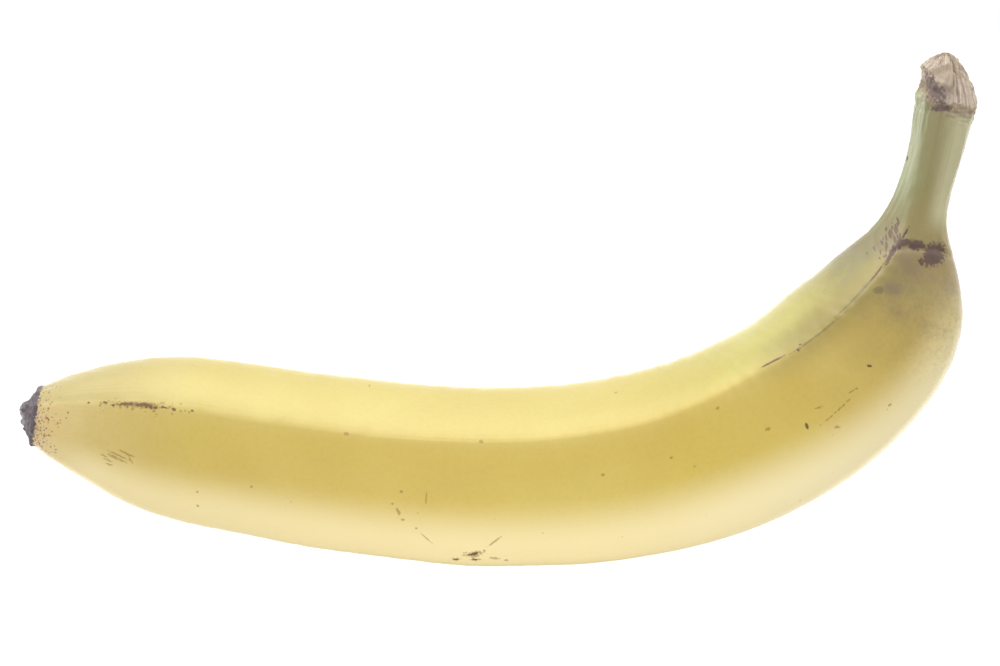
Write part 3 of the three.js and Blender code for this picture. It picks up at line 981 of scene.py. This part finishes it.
def makeSkinMaterial():
    material = bpy.data.materials.new("bananaPeel")
    material.use_nodes = True
    tree = material.node_tree
    tree.nodes.clear()
    output = newNode(tree, "ShaderNodeOutputMaterial")
    shader = newNode(tree, "ShaderNodeBsdfPrincipled")
    tree.links.new(shader.outputs[0], output.inputs[0])

    maps = readPeel(tree)
    colour = bodyColour(tree, maps)
    colour = addNeck(tree, maps, colour)
    colour = addAllFlecks(tree, maps, colour)
    colour, darkMarks = addMarks(tree, maps, colour)
    colour, band, torn = addTornEnd(tree, maps, colour, darkMarks)
    colour, scar = addScar(tree, maps, colour)
    feed(tree, shader.inputs["Base Color"], colour)

    spread = peel["roughnessSpread"]
    dry = most(tree, [band, scar, torn, times(tree, darkMarks, peel["cover"]["dryMarks"])])
    rough = compute(tree, "MULTIPLY_ADD", maps["tiny"], spread, peel["roughness"] - spread / 2)
    feed(tree, shader.inputs["Roughness"], compute(tree, "MULTIPLY_ADD", dry, peel["dryRoughness"], rough))
    shader.inputs["Specular IOR Level"].default_value = peel["gloss"]

    relievo = newNode(tree, "ShaderNodeBump")
    relievo.inputs["Strength"].default_value = peel["bumpStrength"]
    relievo.inputs["Distance"].default_value = peel["bumpDepth"]
    feed(tree, relievo.inputs["Height"], fineHeight(tree, maps))
    tree.links.new(relievo.outputs[0], shader.inputs["Normal"])
    return material


skin.data.materials.append(makeSkinMaterial())
print("peel made")

# The table, the light tent and the camera
studio = {
    "tableSize": 3.0,
    "tableColour": (0.20, 0.20, 0.20),
    "tableSeen": 1.0,  # the table is lit through from below: how bright it looks
    "tableGlow": 0.85,  # and how much it lights the fruit from close by
    "glowEdges": (0.098, 0.042),  # metres from its middle line where the glow ends and where it is full
    "tableGleam": 1.8,  # how bright its far side looks in the peel's gloss
    "gleamEdges": (-0.015, 0.02),
    "tableRoughness": 0.8,
    "overheadSize": (0.75, 0.75),
    "overheadHeight": 0.62,
    "overheadRadiance": 1.16,
    "backdrop": 1.0,
    # the tent's brightness from the front horizon (0) over the top (0.5) to the back horizon (1)
    "tentLight": [(0, 0.68), (0.16, 1.38), (0.28, 1.85), (0.36, 1.02), (0.5, 0.22), (0.7, 0.15), (1, 0.12)],
    "tentGleam": [(0, 0.0), (0.28, 0.05), (0.36, 1.2), (0.5, 2.5), (0.7, 1.3), (0.85, 1.7), (1, 3.4)],
    "brightest": 3.5,
    "cameraTarget": (0.0013, -0.0021, 0.0455),
    "cameraDistance": 0.545,
    "cameraRise": 10.0,
    "lens": 100.0,
}


# One strength for light on the fruit, one for its gloss and one for the camera
def byRay(tree, path, strength, gleam, seen):
    for ray, value in (("Is Glossy Ray", gleam), ("Is Camera Ray", seen)):
        switch = newNode(tree, "ShaderNodeMix", data_type="FLOAT")
        feed(tree, switch.inputs[0], path.outputs[ray])
        feed(tree, switch.inputs[2], strength)
        feed(tree, switch.inputs[3], value)
        strength = switch.outputs[0]
    return strength


def makeTable():
    half = studio["tableSize"] * 500
    corners = np.array([(-half, -half, 0), (half, -half, 0), (half, half, 0), (-half, half, 0)], float)
    table = meshFrom("table", corners, [(0, 1, 2, 3)])
    material = bpy.data.materials.new("whiteTable")
    material.use_nodes = True
    tree = material.node_tree
    shader = tree.nodes["Principled BSDF"]
    shader.inputs["Base Color"].default_value = (*studio["tableColour"], 1)
    shader.inputs["Roughness"].default_value = studio["tableRoughness"]
    shader.inputs["Specular IOR Level"].default_value = 0.0
    shader.inputs["Emission Color"].default_value = (1, 1, 1, 1)
    path = newNode(tree, "ShaderNodeLightPath")
    split = newNode(tree, "ShaderNodeSeparateXYZ")
    tree.links.new(newNode(tree, "ShaderNodeTexCoord").outputs["Object"], split.inputs[0])
    aside = compute(tree, "ABSOLUTE", split.outputs[1])
    glow = between(tree, aside, *studio["glowEdges"], 0, studio["tableGlow"])
    gleam = between(tree, split.outputs[1], *studio["gleamEdges"], 0, studio["tableGleam"])
    strength = byRay(tree, path, glow, gleam, studio["tableSeen"])
    tree.links.new(strength, shader.inputs["Emission Strength"])
    table.data.materials.append(material)


# How bright the tent is in each direction, as a share of its brightest part
def tentRamp(tree, place, lights):
    stops = [(at, (light / studio["brightest"],) * 3) for at, light in lights]
    return times(tree, makeRamp(tree, place, stops), studio["brightest"])


def makeLights():
    light = bpy.data.lights.new("overhead", "AREA")
    light.shape = "RECTANGLE"
    light.size, light.size_y = studio["overheadSize"]
    light.energy = studio["overheadRadiance"] * light.size * light.size_y * math.pi
    lamp = bpy.data.objects.new("overhead", light)
    lamp.location = (0, 0, studio["overheadHeight"])
    bpy.context.scene.collection.objects.link(lamp)

    world = bpy.data.worlds.new("tent")
    world.use_nodes = True
    tree = world.node_tree
    background = tree.nodes["Background"]
    path = newNode(tree, "ShaderNodeLightPath")
    split = newNode(tree, "ShaderNodeSeparateXYZ")
    tree.links.new(newNode(tree, "ShaderNodeTexCoord").outputs["Generated"], split.inputs[0])
    turn = compute(tree, "ARCTAN2", split.outputs[2], compute(tree, "MULTIPLY", split.outputs[1], -1.0))
    overTop = compute(tree, "DIVIDE", turn, math.pi, clamp=True)
    strength = byRay(tree, path, tentRamp(tree, overTop, studio["tentLight"]),
                     tentRamp(tree, overTop, studio["tentGleam"]), studio["backdrop"])
    background.inputs[0].default_value = (1, 1, 1, 1)
    tree.links.new(strength, background.inputs[1])
    bpy.context.scene.world = world


def makeCamera():
    camera = bpy.data.cameras.new("camera")
    camera.lens = studio["lens"]
    camera.sensor_width = 36
    rise = math.radians(studio["cameraRise"])
    holder = bpy.data.objects.new("camera", camera)
    x, y, z = studio["cameraTarget"]
    distance = studio["cameraDistance"]
    holder.location = (x, y - distance * math.cos(rise), z + distance * math.sin(rise))
    holder.rotation_euler = (math.pi / 2 - rise, 0, 0)
    bpy.context.scene.collection.objects.link(holder)
    bpy.context.scene.camera = holder


makeTable()
makeLights()
makeCamera()
bpy.context.scene.view_settings.view_transform = "Standard"
print("studio set")
